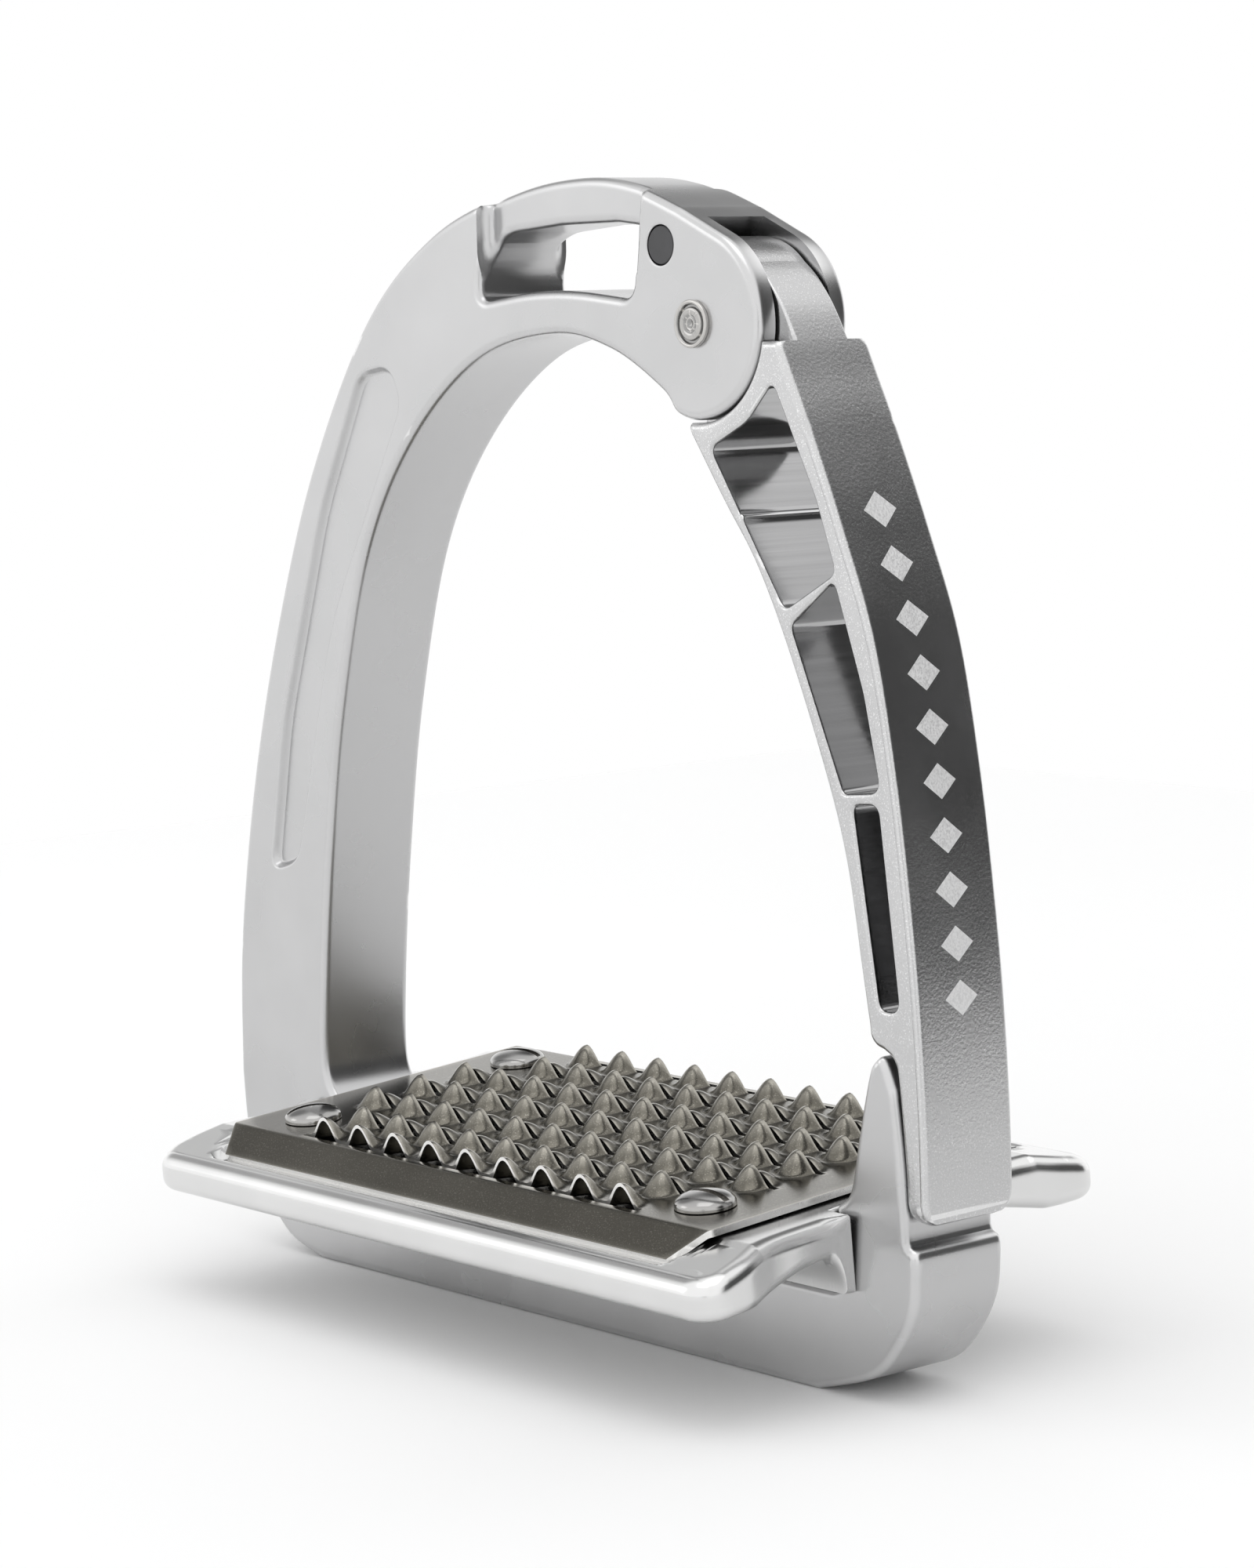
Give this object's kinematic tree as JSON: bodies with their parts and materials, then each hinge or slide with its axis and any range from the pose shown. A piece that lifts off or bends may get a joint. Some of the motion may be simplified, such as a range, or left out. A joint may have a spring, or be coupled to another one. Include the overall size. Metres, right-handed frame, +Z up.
{
  "type": "stirrup iron",
  "caption": "Safety stirrup iron: forged aluminium frame with an offset leather slot, a hinged self-closing release arm, and a tilted tread tray with a punched grater plate.",
  "frame": {"origin": "on the ground plane under the middle of the whole iron, with the iron standing on its base beam", "axes": "+Z up the height; +X across the iron towards the release arm, the rider's outside; +Y from the tread's low front edge to its high rear edge"},
  "size_m": [0.1354, 0.0661, 0.1437],
  "materials": {
    "frame_aluminium": "satin anodised, light silver, with softly polished edges",
    "arm_aluminium": "fine satin on the outer face, extrusion lines inside the windows, bright chamfers",
    "tray_aluminium": "polished, with fine casting haze",
    "grater_steel": "stainless sheet, punched, with a darker warm sparkle",
    "bright_steel": "bright turned steel",
    "spring_steel": "drawn wire, lightly oiled",
    "bronze": "plain bearing bronze",
    "black_plastic": "matt black nylon"
  },
  "bodies": {
    "root": {"frame": "frame_aluminium", "ear_plug_front": "black_plastic", "ear_plug_rear": "black_plastic", "hinge_pin": "bright_steel", "thrust_washer_front": "bronze", "thrust_washer_rear": "bronze", "closing_spring": "spring_steel", "tread_tray": "tray_aluminium", "grater_plate": "grater_steel", "plate_screw_front_left": "bright_steel", "plate_screw_front_right": "bright_steel", "plate_screw_rear_left": "bright_steel", "plate_screw_rear_right": "bright_steel", "tray_bolt_1": "bright_steel", "tray_bolt_2": "bright_steel", "tray_bolt_3": "bright_steel", "tray_bolt_4": "bright_steel"},
    "arm": {"release_arm": "arm_aluminium", "hinge_bush": "bronze"},
    "plunger": {"closing_plunger": "bright_steel"}
  },
  "joints": [
    {"name": "arm_hinge", "type": "hinge", "parent": "root", "child": "arm", "pos_m": [0.0312, 0, 0.1257], "axis": [0, -1, 0], "range_deg": [0, 75], "stiffness_Nm_per_rad": 0.0164, "springref_deg": -120.32},
    {"name": "plunger_slide", "type": "slide", "parent": "root", "child": "plunger", "axis": [-0.9976, 0, 0.0698], "range_m": [0, 0.0017]}
  ],
  "couplings": [
    {"joint": "plunger_slide", "follows": "arm_hinge", "m_per_rad": 0.0012892}
  ]
}
